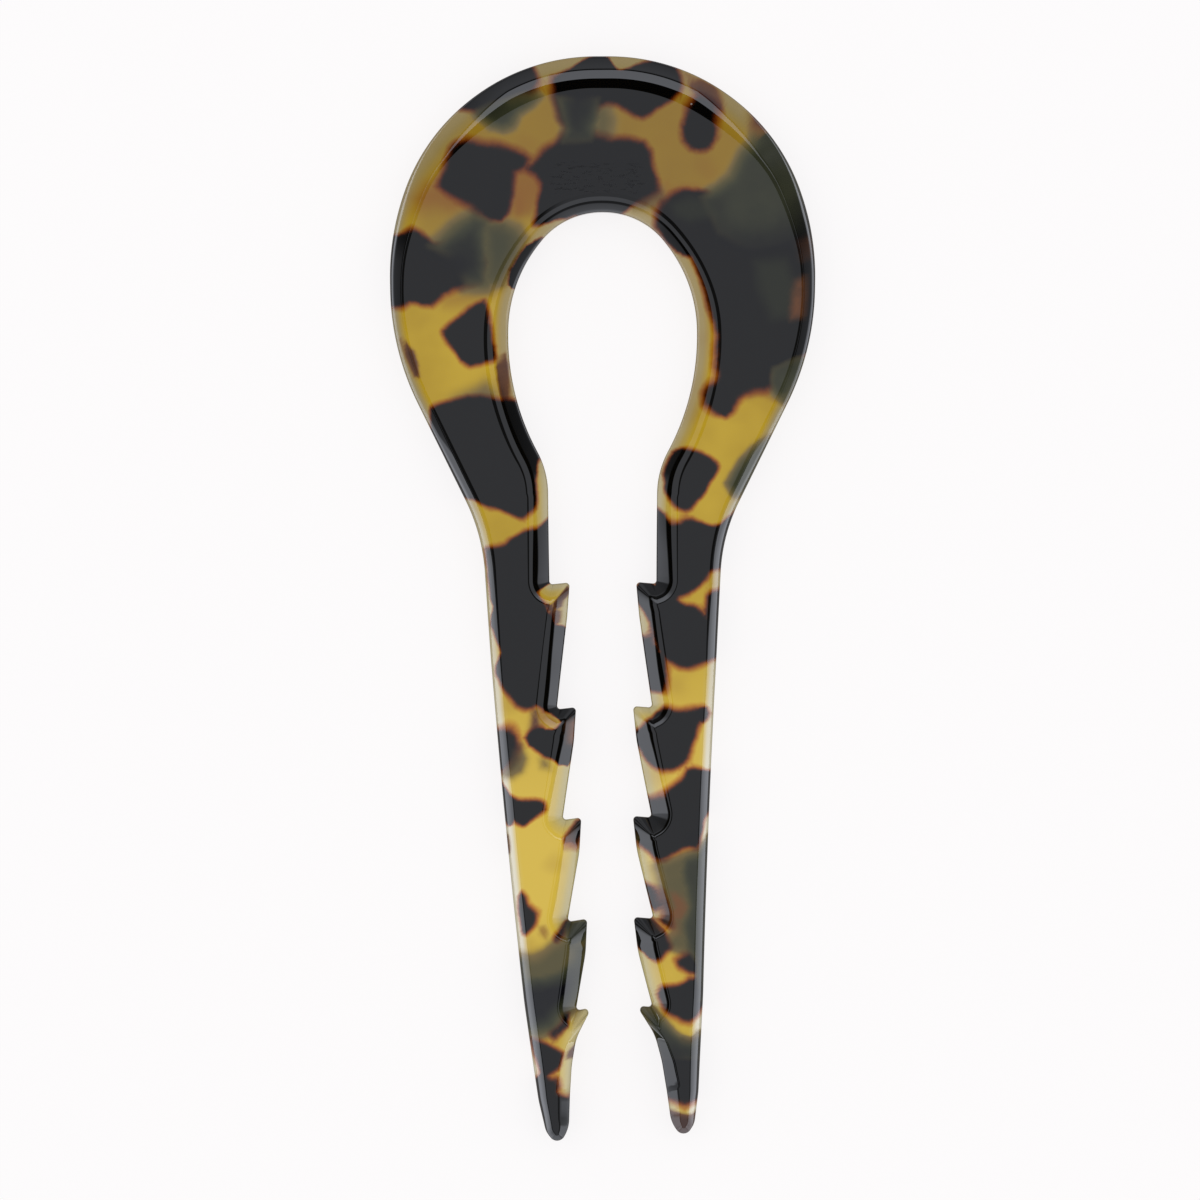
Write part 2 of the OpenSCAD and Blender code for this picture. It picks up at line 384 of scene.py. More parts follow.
def row_points(cuts, k, sign):
    share = (cuts[:, k, 0] / widths)[:, None]
    xy = edge_loop + (flat_loop - edge_loop) * share
    return np.column_stack([xy, MID + sign * cuts[:, k, 1]])


REAR_ROWS, FRONT_ROWS = rear.shape[1], front.shape[1]
rows = [row_points(rear, k, -1) for k in range(REAR_ROWS - 1, 0, -1)] + [row_points(front, k, 1) for k in range(1, FRONT_ROWS)]

# ---------------------------------------------------------------- flats
GRIDS = {True: 0.42, False: 0.7}


def flat_mesh(loop, grid_size):
    """A flat filled with even triangles: its points inside the loop, and triangles over loop then inner points."""
    lo, hi = loop.min(0), loop.max(0)
    ys = np.arange(lo[1], hi[1], grid_size * 0.866)
    xs = np.arange(lo[0], hi[0], grid_size)
    grid = np.concatenate([np.stack([xs + (grid_size / 2) * (k % 2), np.full(len(xs), y)], 1) for k, y in enumerate(ys)])
    inside = np.zeros(len(grid), bool)
    near = np.full(len(grid), 1e9)
    for p, q in zip(loop, np.roll(loop, -1, 0)):
        if p[1] != q[1]:
            hit = (p[1] > grid[:, 1]) != (q[1] > grid[:, 1])
            x = p[0] + (grid[:, 1] - p[1]) * (q[0] - p[0]) / (q[1] - p[1])
            inside ^= hit & (grid[:, 0] < x)
        near = np.minimum(near, (grid[:, 0] - p[0]) ** 2 + (grid[:, 1] - p[1]) ** 2)
    within = grid[inside & (near > (grid_size * 0.45) ** 2)]
    # the ridges of the barbs end in one point each, which the loop passes several times
    keep = [i for i in range(len(loop)) if np.hypot(*(loop[i] - loop[i - 1])) > 1e-4]
    names = keep + list(range(len(loop), len(loop) + len(within)))
    flat_points = [tuple(map(float, p)) for p in np.concatenate([loop[keep], within])]
    edges = [(i, (i + 1) % len(keep)) for i in range(len(keep))]
    verts, _, faces, origin, _, _ = delaunay_2d_cdt([Vector(p) for p in flat_points], edges, [], 1, 1e-7)
    back_to = [o[0] if o else -1 for o in origin]
    if len(verts) != len(flat_points) or sorted(back_to) != list(range(len(flat_points))):
        raise RuntimeError("the flat's triangles don't keep its points")
    return within, [[names[back_to[v]] for v in f] for f in faces]


def clockwise(f, p):
    (ax, ay), (bx, by), (cx, cy) = p[f[0]][:2], p[f[1]][:2], p[f[2]][:2]
    return (bx - ax) * (cy - ay) - (by - ay) * (cx - ax) < 0


verts = [r for r in rows]
faces = []
R = len(rows)
for k in range(R - 1):
    for i in range(n):
        j = (i + 1) % n
        faces.append((k * n + i, (k + 1) * n + i, (k + 1) * n + j, k * n + j))
total = R * n
lip_row = (REAR_ROWS - 1) + LIP - 1
for level, z, up in ((0, 0.0, False), (R - 1, THICK, True)):
    loop = rows[level][:, :2]
    within, tris = flat_mesh(loop, GRIDS[up])
    verts.append(np.column_stack([within, np.full(len(within), z)]))
    every = np.concatenate([loop, within])
    for f in tris:
        if clockwise(f, every) == up:
            f = f[::-1]
        faces.append(tuple(level * n + v if v < n else total + v - n for v in f))
    total += len(within)
points = np.concatenate(verts)
row_of = np.concatenate([np.repeat(np.arange(R), n), np.full(len(points) - R * n, R)])
# points in one place become one point, and the faces that shrink to nothing by that are left out
_, first, same = np.unique(np.round(points / 1e-4).astype(np.int64), axis=0, return_index=True, return_inverse=True)
same = same.ravel()
points, row_of = points[first], row_of[first]
whole = []
for f in faces:
    f = [int(same[v]) for v in f]
    f = [v for k, v in enumerate(f) if v != f[k - 1]]
    if len(f) > 2:
        whole.append(tuple(f))
faces = whole
# painted shade: a thin dark line along the rounded top of the rim
lip = np.exp(-((row_of - lip_row) / 1.1) ** 2)

# ---------------------------------------------------------------- chips
# Each row is a chip: its name, what it is, how strong it is, how soft its outline looks
# in millimetres, and the corners that it has on the face, in millimetres (x across from the head's
# middle line, y up from the tips). Corners past the pin's outline only say that the chip runs over it.
CHIPS = [
    ("crown_left", "black", 1.00, 0.30, [(-15.5, 109.2), (-13.0, 111.1), (-10.8, 112.4), (-7.9, 113.9), (-7.2, 112.7), (-7.0, 111.7), (-7.8, 110.9), (-9.4, 110.2), (-11.1, 109.4), (-12.5, 108.8), (-13.8, 108.8)]),
    ("crown_left_deep", "olive", 0.98, 1.20, [(-13.6, 108.8), (-10.8, 110.0), (-7.4, 110.9), (-6.5, 110.3), (-7.5, 109.2), (-8.8, 108.3), (-9.5, 107.0), (-10.5, 106.6), (-11.8, 106.9), (-12.5, 107.6), (-13.6, 108.2)]),
    ("crown_mid", "black", 1.00, 0.25, [(-5.2, 112.1), (-4.3, 112.6), (-2.9, 113.3), (-1.6, 114.2), (-0.3, 114.7), (0.6, 114.3), (1.1, 113.4), (1.7, 112.9), (2.9, 113.1), (4.2, 113.6), (5.5, 114.0), (7.2, 113.7), (8.0, 112.4), (8.3, 111.3), (7.8, 110.5), (6.8, 109.7), (5.7, 109.0), (4.9, 108.4), (4.1, 108.1), (3.3, 108.4), (2.5, 109.0), (1.6, 109.5), (0.4, 109.6), (-0.5, 109.2), (-1.5, 108.2), (-2.6, 106.9), (-3.4, 106.7), (-4.1, 107.7), (-4.6, 109.2), (-5.0, 110.7)]),
    ("crown_mid_deep", "olive", 1.10, 1.50, [(-4.9, 110.1), (-0.3, 110.1), (-0.5, 108.2), (-1.1, 105.4), (-4.4, 105.2), (-3.9, 106.9)]),
    ("crown_mid_haze", "olive", 0.50, 1.50, [(-1.5, 109.9), (1.0, 109.4), (1.4, 107.7), (1.1, 105.4), (-1.3, 105.2)]),
    ("crown_right", "black", 1.00, 0.60, [(9.0, 108.2), (9.2, 109.4), (10.3, 110.1), (11.6, 109.4), (12.0, 108.6), (11.7, 107.5), (11.8, 106.0), (11.2, 105.0), (10.4, 104.6), (9.4, 104.7), (8.8, 105.5), (8.6, 106.9)]),
    ("crown_right_smear", "brown", 0.85, 0.70, [(8.8, 112.4), (10.1, 112.0), (11.8, 111.3), (12.6, 110.2), (12.5, 108.8), (11.1, 109.4), (9.7, 110.5)]),
    ("upper_left", "black", 1.00, 0.35, [(-15.9, 104.7), (-15.4, 105.1), (-14.4, 105.3), (-13.0, 105.0), (-10.8, 104.6), (-9.6, 104.4), (-8.4, 103.9), (-8.0, 103.5), (-8.3, 102.8), (-9.5, 102.4), (-9.7, 101.4), (-9.8, 99.7), (-10.2, 98.0), (-10.8, 97.2), (-11.9, 97.4), (-13.0, 98.2), (-14.0, 98.9), (-15.5, 99.6), (-16.4, 100.1), (-17.2, 100.8), (-17.0, 101.4), (-16.4, 102.5), (-16.2, 103.7)]),
    ("upper_left_smear", "brown", 0.85, 0.90, [(-10.3, 102.7), (-9.3, 102.0), (-9.4, 99.7), (-9.9, 97.9), (-10.8, 97.2), (-11.9, 98.7), (-11.3, 101.4)]),
    ("upper_left_warm", "warm", 0.75, 1.30, [(-20.4, 99.5), (-18.9, 100.9), (-17.0, 101.2), (-15.3, 99.7), (-13.2, 98.4), (-12.1, 96.8), (-14.9, 97.6), (-17.6, 98.4), (-19.3, 98.0)]),
    ("between_warm", "warm", 0.65, 0.70, [(-9.6, 102.0), (-8.1, 102.9), (-7.0, 102.4), (-6.3, 101.0), (-6.7, 98.7), (-7.6, 97.6), (-9.2, 97.4), (-9.7, 99.3)]),
    ("middle", "black", 1.00, 0.35, [(-7.1, 103.1), (-5.9, 104.4), (-4.7, 105.1), (-3.9, 105.9), (-1.3, 105.9), (1.0, 105.4), (2.9, 105.5), (4.2, 105.2), (4.8, 104.4), (5.1, 102.9), (5.5, 101.4), (5.6, 100.3), (4.8, 99.7), (3.5, 99.1), (2.7, 98.5), (1.6, 97.6), (-0.3, 97.4), (-1.5, 97.7), (-3.0, 97.7), (-4.5, 97.3), (-5.8, 97.0), (-7.1, 96.6), (-6.9, 97.8), (-6.6, 99.3), (-6.3, 100.9), (-6.8, 101.9), (-7.8, 102.5)]),
    ("middle_haze", "olive", 0.50, 1.40, [(3.5, 99.9), (6.1, 100.6), (6.7, 99.3), (5.2, 98.5), (3.3, 98.3)]),
    ("middle_warm", "warm", 0.60, 0.60, [(5.2, 101.0), (6.9, 101.0), (7.3, 99.5), (6.3, 97.6), (5.2, 98.0)]),
    ("shoulder", "olive", 1.00, 1.50, [(15.9, 109.0), (18.5, 107.3), (21.3, 103.9), (23.2, 98.8), (23.4, 94.5), (15.0, 93.8), (12.0, 95.5), (10.1, 99.5), (11.9, 100.6), (13.4, 101.7), (14.1, 103.1), (14.8, 104.4), (15.8, 105.4), (16.2, 106.7)]),
    ("shoulder_warm", "warm", 0.60, 0.50, [(6.9, 100.3), (8.6, 100.9), (10.5, 100.8), (12.2, 101.0), (10.9, 99.7), (8.6, 99.6)]),
    ("shoulder_rim", "brown", 0.70, 0.50, [(15.6, 108.6), (16.8, 108.0), (17.9, 106.7), (17.1, 106.5), (16.0, 107.3)]),
    ("right_side", "black", 1.00, 0.35, [(6.4, 98.7), (7.3, 99.5), (8.4, 100.1), (10.1, 100.1), (11.2, 99.8), (12.0, 99.1), (12.3, 97.9), (13.1, 96.6), (14.5, 96.1), (16.6, 96.3), (18.7, 96.5), (20.0, 97.3), (20.6, 98.4), (22.1, 99.3), (23.6, 95.6), (23.6, 88.7), (22.8, 83.4), (21.5, 83.2), (20.2, 82.2), (18.7, 81.5), (17.7, 80.9), (17.8, 79.9), (17.3, 79.4), (15.9, 79.4), (15.0, 79.0), (14.3, 78.4), (13.8, 77.7), (13.6, 77.0), (12.9, 76.5), (12.1, 76.8), (11.5, 77.2), (10.9, 77.8), (10.8, 78.6), (11.2, 79.4), (12.0, 79.9), (12.3, 80.7), (12.1, 81.8), (12.1, 83.4), (12.3, 84.8), (12.0, 86.1), (11.6, 87.1), (11.2, 88.4), (10.7, 90.0), (10.1, 91.9), (9.4, 93.4), (8.6, 93.5), (7.7, 94.1), (6.6, 95.1), (5.7, 96.4), (6.0, 97.6)]),
    ("right_side_deep", "olive", 0.85, 0.90, [(17.7, 81.7), (20.9, 83.0), (21.5, 82.2), (20.9, 79.8), (19.3, 77.7), (18.1, 78.6), (17.5, 80.1)]),
    ("right_side_rust", "glow", 0.80, 0.60, [(20.3, 90.6), (21.2, 90.9), (21.4, 89.1), (21.0, 87.0), (20.0, 86.7), (20.0, 88.7)]),
    ("right_side_rust2", "glow", 0.40, 0.90, [(20.8, 94.7), (21.8, 95.2), (22.2, 93.6), (21.2, 93.1)]),
    ("right_side_rim", "brown", 0.60, 0.50, [(21.2, 89.6), (22.3, 90.0), (22.3, 85.5), (21.4, 85.8)]),
    ("right_side_veil", "veil", 0.80, 0.90, [(16.2, 92.7), (19.4, 92.9), (20.4, 89.8), (19.8, 86.8), (17.9, 86.8), (16.6, 89.6)]),
    ("right_side_veil2", "veil", 0.70, 0.70, [(7.3, 98.7), (9.2, 99.5), (11.6, 98.9), (11.8, 97.6), (9.2, 97.0), (7.8, 97.6)]),
    ("right_side_low_warm", "warm", 0.55, 0.35, [(14.9, 78.8), (16.2, 79.4), (17.5, 79.2), (19.0, 78.2), (18.1, 77.9), (16.6, 78.6), (15.4, 78.2)]),
    ("left_side", "black", 1.00, 0.25, [(-23.5, 95.5), (-21.6, 95.5), (-20.7, 95.8), (-20.0, 96.0), (-19.4, 95.7), (-18.7, 95.1), (-17.9, 94.5), (-17.1, 94.3), (-15.7, 94.7), (-13.6, 94.3), (-12.7, 92.7), (-13.2, 90.8), (-14.4, 90.4), (-15.9, 89.9), (-17.0, 89.4), (-17.7, 88.7), (-18.1, 88.2), (-18.9, 88.2), (-19.5, 88.5), (-20.4, 88.6), (-21.0, 88.3), (-21.6, 88.1), (-23.5, 88.3)]),
    ("left_side_deep", "olive", 1.12, 2.20, [(-18.5, 94.4), (-17.4, 94.6), (-16.1, 95.9), (-14.9, 97.0), (-13.4, 97.8), (-12.1, 97.0), (-12.1, 94.0), (-12.3, 90.2), (-14.4, 90.2), (-15.6, 92.7)]),
    ("left_side_haze", "olive", 0.80, 1.70, [(-13.0, 97.0), (-10.3, 97.0), (-9.0, 96.3), (-8.4, 95.3), (-9.2, 93.3), (-10.0, 91.7), (-10.8, 90.4), (-12.5, 90.1)]),
    ("left_side_hole", "black", 1.00, 0.50, [(-8.1, 94.3), (-6.4, 95.3), (-7.4, 92.7), (-8.2, 91.0), (-9.0, 90.0), (-9.9, 90.1), (-9.7, 91.7), (-8.8, 93.3)]),
    ("left_side_low_warm", "warm", 0.45, 1.00, [(-17.2, 89.0), (-14.0, 90.4), (-10.8, 90.2), (-12.3, 88.5), (-15.1, 87.9), (-16.7, 87.9)]),
    ("left_chip", "black", 1.00, 0.05, [(-16.8, 85.2), (-16.1, 85.9), (-14.9, 86.9), (-13.8, 87.8), (-12.6, 88.5), (-12.3, 87.7), (-12.1, 86.6), (-11.8, 85.0), (-11.5, 83.4), (-11.4, 82.6), (-12.1, 82.4), (-13.0, 82.0), (-14.0, 81.8), (-14.8, 82.3), (-15.4, 83.1), (-16.3, 84.3)]),
    ("left_rim_spot", "brown", 0.85, 0.50, [(-21.3, 84.7), (-20.8, 84.3), (-20.0, 83.2), (-19.6, 81.7), (-19.4, 80.6), (-19.9, 80.9), (-20.6, 82.2), (-21.0, 83.4)]),
    ("left_inner_smear", "brown", 0.85, 0.50, [(-10.9, 82.7), (-10.3, 83.0), (-10.0, 81.8), (-9.9, 80.3), (-9.7, 78.4), (-10.3, 77.8), (-10.8, 78.6), (-11.1, 80.3), (-11.2, 81.7)]),
    ("left_low_haze", "olive", 0.50, 2.00, [(-15.5, 78.2), (-13.6, 79.0), (-12.3, 79.6), (-11.5, 78.8), (-11.7, 77.6), (-14.0, 77.8)]),
    ("left_low", "black", 1.00, 0.05, [(-18.2, 77.2), (-17.2, 77.6), (-15.9, 78.0), (-14.0, 78.4), (-12.5, 78.3), (-10.8, 78.0), (-9.8, 78.2), (-8.9, 77.9), (-8.1, 76.0), (-7.4, 74.5), (-6.6, 73.0), (-6.5, 72.2), (-7.0, 71.4), (-7.1, 69.7), (-7.0, 67.6), (-7.2, 66.8), (-7.9, 66.2), (-8.4, 65.7), (-9.0, 66.0), (-10.0, 66.4), (-11.1, 66.7), (-12.1, 66.9), (-12.9, 67.4), (-13.4, 67.7), (-14.2, 67.8), (-15.3, 68.4), (-17.2, 72.9), (-18.0, 74.1), (-18.0, 75.8)]),
    ("left_arm", "black", 1.00, 0.05, [(-12.3, 62.4), (-11.2, 62.5), (-10.2, 62.8), (-9.3, 63.5), (-8.4, 64.1), (-7.7, 64.3), (-6.8, 64.5), (-6.1, 65.0), (-5.3, 66.1), (-5.1, 63.4), (-5.2, 59.7), (-5.7, 58.8), (-6.5, 58.3), (-7.0, 57.8), (-6.6, 57.0), (-6.1, 56.4), (-5.8, 55.7), (-5.3, 55.3), (-5.1, 54.6), (-4.9, 54.1), (-4.1, 54.2), (-3.7, 53.8), (-4.3, 49.6), (-4.7, 46.0), (-5.3, 45.0), (-6.0, 45.3), (-6.5, 45.8), (-7.0, 46.0), (-7.4, 45.7), (-8.1, 45.6), (-8.9, 45.9), (-9.6, 46.7), (-10.2, 47.5), (-10.7, 48.3), (-11.2, 49.0), (-11.3, 49.8), (-11.1, 50.7), (-10.6, 51.5), (-10.9, 52.3), (-11.3, 53.2), (-11.7, 54.3), (-11.7, 55.5), (-11.4, 56.2), (-11.8, 57.4), (-12.0, 59.1), (-12.2, 61.0)]),
    ("left_ridge1", "brown", 0.85, 0.25, [(-3.7, 58.5), (-3.4, 57.9), (-4.7, 56.1), (-5.2, 56.1), (-5.2, 56.6)]),
    ("left_scoop1_line", "brown", 0.80, 0.15, [(-6.1, 56.5), (-5.7, 56.5), (-4.9, 55.9), (-4.5, 54.7), (-4.9, 54.3), (-5.3, 55.3)]),
    ("left_tip2", "black", 1.00, 0.05, [(-6.5, 46.0), (-5.8, 46.8), (-4.9, 46.7), (-4.7, 45.6), (-2.8, 46.0), (-2.4, 45.2), (-2.7, 44.1), (-2.8, 42.9), (-3.0, 41.6), (-3.2, 40.1), (-3.7, 39.5), (-4.3, 39.2), (-4.8, 39.9), (-5.3, 40.3), (-6.1, 40.6), (-6.9, 41.2), (-7.7, 41.7), (-8.0, 42.4), (-7.6, 43.1), (-7.0, 43.5), (-6.5, 43.6), (-6.0, 43.2), (-5.3, 43.2), (-4.6, 43.5), (-4.2, 44.2), (-4.5, 44.4), (-4.9, 44.6), (-5.5, 45.0), (-6.1, 45.3)]),
    ("left_flank2", "glow", 0.95, 0.35, [(-3.7, 44.1), (-2.8, 44.5), (-2.8, 42.4), (-3.2, 41.7), (-3.9, 42.4)]),
    ("left_smear2", "brown", 0.60, 0.80, [(-7.5, 45.2), (-6.8, 45.6), (-6.7, 44.5), (-6.7, 43.4), (-7.2, 42.7), (-7.7, 42.9), (-7.7, 44.1)]),
    ("left_bevel3", "black", 1.00, 0.70, [(-12.1, 43.1), (-10.6, 43.2), (-9.7, 43.1), (-9.2, 42.5), (-9.2, 41.4), (-9.6, 40.4), (-10.2, 39.6), (-10.9, 38.9), (-12.3, 39.3)]),
    ("left_olive3", "olive", 0.58, 1.30, [(-10.0, 42.0), (-8.8, 41.6), (-8.3, 40.3), (-8.7, 39.0), (-9.6, 38.5), (-10.5, 38.7)]),
    ("left_spot3", "olive", 0.30, 1.00, [(-6.6, 40.4), (-5.6, 40.4), (-5.5, 39.0), (-6.5, 39.2)]),
    ("left_chip4", "black", 1.00, 0.10, [(-11.3, 38.6), (-10.4, 37.3), (-9.9, 36.3), (-9.2, 35.8), (-8.1, 35.8), (-7.0, 35.8), (-6.3, 35.5), (-6.1, 35.0), (-6.6, 34.5), (-7.5, 33.9), (-8.3, 33.3), (-9.2, 33.6), (-9.5, 34.1), (-9.7, 33.3), (-10.1, 33.3), (-11.3, 35.9)]),
    ("left_rim4", "brown", 0.50, 0.20, [(-10.4, 32.5), (-9.9, 32.3), (-9.6, 30.4), (-10.0, 29.9)]),
    ("left_tip3", "black", 1.00, 0.12, [(-3.9, 31.9), (-3.4, 32.8), (-2.7, 33.6), (-2.1, 33.8), (-2.3, 32.5), (-2.7, 31.4), (-3.1, 30.8), (-3.4, 30.6), (-3.7, 31.0)]),
    ("left_tip3_fringe", "glow", 0.70, 0.30, [(-4.1, 32.1), (-3.4, 33.0), (-2.6, 33.8), (-3.2, 32.5), (-3.7, 31.0), (-3.4, 30.2), (-4.0, 30.6)]),
    ("left_chip5", "black", 1.00, 0.12, [(-8.9, 25.6), (-8.6, 26.1), (-8.2, 25.5), (-8.1, 24.8), (-7.6, 24.3), (-7.1, 23.9), (-7.1, 23.3), (-7.4, 22.6), (-7.9, 22.1), (-8.3, 21.7), (-8.5, 22.0), (-8.6, 23.1), (-8.8, 24.5)]),
    ("left_warm5", "warm", 0.70, 0.30, [(-6.8, 22.4), (-6.0, 22.6), (-5.6, 21.9), (-5.9, 21.2), (-6.5, 21.6)]),
    ("left_notch_warm", "warm", 0.80, 0.50, [(-6.9, 45.1), (-6.2, 45.3), (-5.2, 44.8), (-4.4, 44.1), (-4.9, 43.5), (-5.7, 43.5), (-6.5, 43.9)]),
    ("left_olive6", "olive", 0.55, 1.30, [(-10.0, 19.8), (-8.5, 19.5), (-7.4, 19.3), (-6.1, 20.1), (-5.3, 20.8), (-4.7, 21.3), (-4.2, 22.1), (-3.7, 23.2), (-1.1, 23.4), (-1.1, 21.1), (-2.4, 15.6), (-3.0, 14.3), (-3.4, 14.1), (-3.7, 13.1), (-3.9, 12.1), (-4.5, 11.6), (-5.1, 11.0), (-6.6, 10.9), (-7.6, 11.3), (-8.3, 11.6), (-9.4, 14.7)]),
    ("left_dark6", "olive", 1.32, 1.90, [(-10.2, 17.5), (-8.3, 17.1), (-6.1, 17.3), (-4.5, 17.9), (-3.4, 18.8), (-2.6, 20.2), (-1.3, 21.1), (-1.8, 17.4), (-2.6, 14.7), (-3.7, 13.9), (-4.7, 12.8), (-5.3, 11.9), (-6.8, 11.4), (-8.3, 11.6), (-9.6, 13.5)]),
    ("left_bevel6", "olive", 1.08, 0.60, [(-10.0, 19.4), (-8.3, 19.0), (-7.9, 16.9), (-7.4, 14.2), (-6.9, 11.6), (-7.9, 11.4), (-9.6, 14.7)]),
    ("left_tip4", "olive", 1.05, 0.50, [(-4.0, 22.7), (-3.7, 23.1), (-3.0, 23.0), (-1.8, 23.2), (-1.1, 22.6), (-1.8, 21.1), (-2.8, 19.0), (-3.4, 19.2), (-3.7, 21.1)]),
    ("left_edge6", "black", 1.00, 0.10, [(-3.8, 23.0), (-3.7, 22.7), (-4.3, 21.7), (-4.9, 21.1), (-4.8, 21.5), (-4.3, 22.2)]),
    ("left_edge6b", "black", 1.00, 0.15, [(-3.8, 14.2), (-3.6, 13.5), (-3.8, 12.1), (-4.3, 11.6), (-5.1, 10.9), (-5.3, 11.3), (-4.6, 11.8), (-4.1, 12.4), (-4.0, 13.5)]),
    ("left_chip7", "black", 1.00, 0.10, [(-7.7, 10.7), (-6.5, 10.2), (-5.6, 9.8), (-4.7, 9.4), (-4.2, 9.1), (-4.5, 8.2), (-4.8, 7.6), (-5.5, 7.1), (-6.0, 6.6), (-6.5, 6.9), (-6.9, 8.6)]),
    ("left_rim7", "brown", 0.55, 0.30, [(-3.7, 9.2), (-2.6, 10.5), (-2.9, 8.6), (-3.8, 8.5)]),
    ("left_tip", "black", 1.00, 0.35, [(-7.2, 6.3), (-6.5, 6.9), (-5.9, 6.7), (-5.7, 6.3), (-4.8, 6.3), (-4.7, 5.7), (-4.9, 4.9), (-4.2, 4.4), (-3.2, 4.3), (-2.4, 3.1), (-3.0, 1.0), (-4.3, -0.9), (-6.1, -0.3), (-7.5, 4.2)]),
    ("right_chip", "black", 1.00, 0.05, [(6.7, 68.4), (6.6, 70.2), (6.9, 71.6), (7.5, 72.5), (8.3, 73.0), (9.2, 72.9), (10.3, 72.5), (11.1, 72.1), (11.9, 71.5), (12.1, 71.0), (11.7, 70.2), (11.2, 69.4), (10.7, 68.5), (10.0, 67.6), (9.4, 66.8), (8.8, 66.5), (8.0, 66.9), (7.1, 67.6)]),
    ("right_rim_olive", "olive", 0.92, 0.90, [(13.1, 69.2), (13.8, 70.4), (14.6, 71.6), (15.6, 72.7), (16.6, 73.6), (17.9, 74.3), (15.3, 68.4), (14.3, 67.9), (13.7, 68.2)]),
    ("right_arm", "black", 1.00, 0.08, [(5.2, 66.9), (6.3, 66.2), (6.7, 65.5), (7.3, 64.9), (8.2, 65.0), (8.8, 65.4), (9.3, 65.5), (10.1, 65.2), (10.9, 64.8), (11.8, 64.7), (12.4, 64.9), (13.1, 65.6), (14.1, 66.3), (13.5, 63.9), (12.9, 61.8), (12.6, 60.5), (11.7, 60.4), (11.1, 60.0), (10.7, 59.3), (10.3, 58.7), (9.6, 58.1), (8.7, 57.6), (7.9, 57.4), (7.7, 57.1), (7.9, 56.8), (8.7, 56.5), (9.7, 56.3), (10.3, 55.9), (10.9, 55.1), (11.0, 56.4), (11.1, 57.2), (11.7, 57.8), (12.6, 58.0), (12.8, 57.0), (12.6, 51.2), (11.1, 50.6), (10.3, 50.4), (9.2, 50.0), (8.2, 50.1), (7.1, 50.6), (6.6, 50.9), (6.3, 51.2), (5.9, 51.9), (5.6, 52.8), (5.3, 53.8), (5.0, 54.8), (4.6, 55.6), (4.2, 56.3), (3.6, 57.0), (3.3, 57.9), (4.0, 59.0), (5.0, 58.7), (5.6, 58.5), (5.6, 61.2), (5.4, 64.4)]),
    ("right_flank1", "black", 1.00, 0.10, [(4.2, 53.2), (5.0, 52.7), (5.6, 52.2), (6.1, 51.5), (6.6, 50.7), (6.6, 49.1), (6.5, 47.5), (5.9, 47.3), (5.0, 47.5), (4.4, 50.7)]),
    ("right_chip2", "black", 1.00, 0.15, [(3.5, 43.1), (4.2, 43.5), (4.5, 43.8), (4.8, 44.2), (5.3, 44.5), (5.7, 45.0), (6.2, 45.2), (6.5, 45.6), (7.0, 45.5), (7.5, 45.2), (8.4, 45.2), (9.4, 45.3), (10.9, 45.5), (11.1, 45.0), (10.7, 44.4), (10.2, 44.2), (10.0, 43.6), (9.7, 42.7), (9.4, 41.9), (9.2, 41.2), (8.9, 40.4), (8.5, 39.9), (7.9, 39.5), (7.1, 39.3), (6.3, 39.2), (5.6, 39.4), (5.0, 39.8), (4.6, 40.3), (4.2, 41.2), (3.5, 42.0)]),
    ("right_chip2_smear", "brown", 0.80, 0.40, [(9.9, 45.5), (10.9, 45.6), (11.1, 44.8), (10.5, 44.1), (10.1, 44.8)]),
    ("right_chip3", "black", 1.00, 0.12, [(6.6, 36.5), (7.0, 36.9), (7.7, 37.4), (8.3, 37.9), (8.7, 38.5), (9.0, 39.0), (9.7, 39.2), (10.7, 39.0), (11.6, 38.9), (12.0, 38.0), (11.8, 35.9), (11.2, 34.6), (10.7, 33.9), (10.5, 33.0), (10.3, 32.2), (10.2, 31.3), (9.9, 30.9), (9.2, 31.0), (8.6, 30.9), (8.0, 30.7), (7.2, 30.3), (6.5, 29.7), (5.9, 29.6), (5.5, 29.9), (5.1, 30.5), (4.6, 30.9), (4.0, 31.2), (3.3, 31.9), (3.0, 33.8), (3.7, 34.6), (5.0, 34.2), (5.1, 34.8), (4.7, 36.1), (5.5, 35.6), (6.1, 35.5), (6.4, 35.9)]),
    ("right_chip3_smear", "brown", 0.50, 0.50, [(8.6, 32.3), (10.3, 33.1), (10.3, 31.4), (9.7, 31.0), (8.6, 31.0)]),
    ("right_olive4", "olive", 0.52, 1.00, [(5.6, 29.3), (6.9, 29.6), (8.2, 30.2), (9.4, 30.4), (10.3, 30.8), (11.4, 32.3), (12.0, 30.6), (11.4, 19.0), (9.4, 19.4), (7.8, 19.8), (6.5, 20.2), (6.7, 21.5), (7.4, 22.1), (7.0, 23.7), (6.5, 25.3), (6.1, 26.9)]),
    ("right_dark4", "olive", 1.00, 1.10, [(8.6, 29.7), (10.3, 30.4), (11.6, 32.1), (12.0, 25.3), (11.4, 18.4), (9.9, 18.5), (8.8, 20.2), (8.4, 22.7), (8.9, 24.8), (8.6, 26.4), (8.2, 28.3)]),
    ("right_flame", "glow", 1.00, 0.30, [(7.2, 26.4), (7.9, 25.8), (8.6, 25.3), (8.9, 24.5), (8.5, 23.5), (7.9, 23.1), (7.3, 23.8), (7.7, 24.9)]),
    ("right_bevel4", "olive", 1.10, 0.50, [(10.3, 30.4), (11.2, 32.1), (12.0, 30.6), (11.6, 25.3), (11.1, 19.5), (10.7, 16.3), (10.9, 14.7), (10.1, 14.7), (9.8, 19.0), (10.0, 25.3)]),
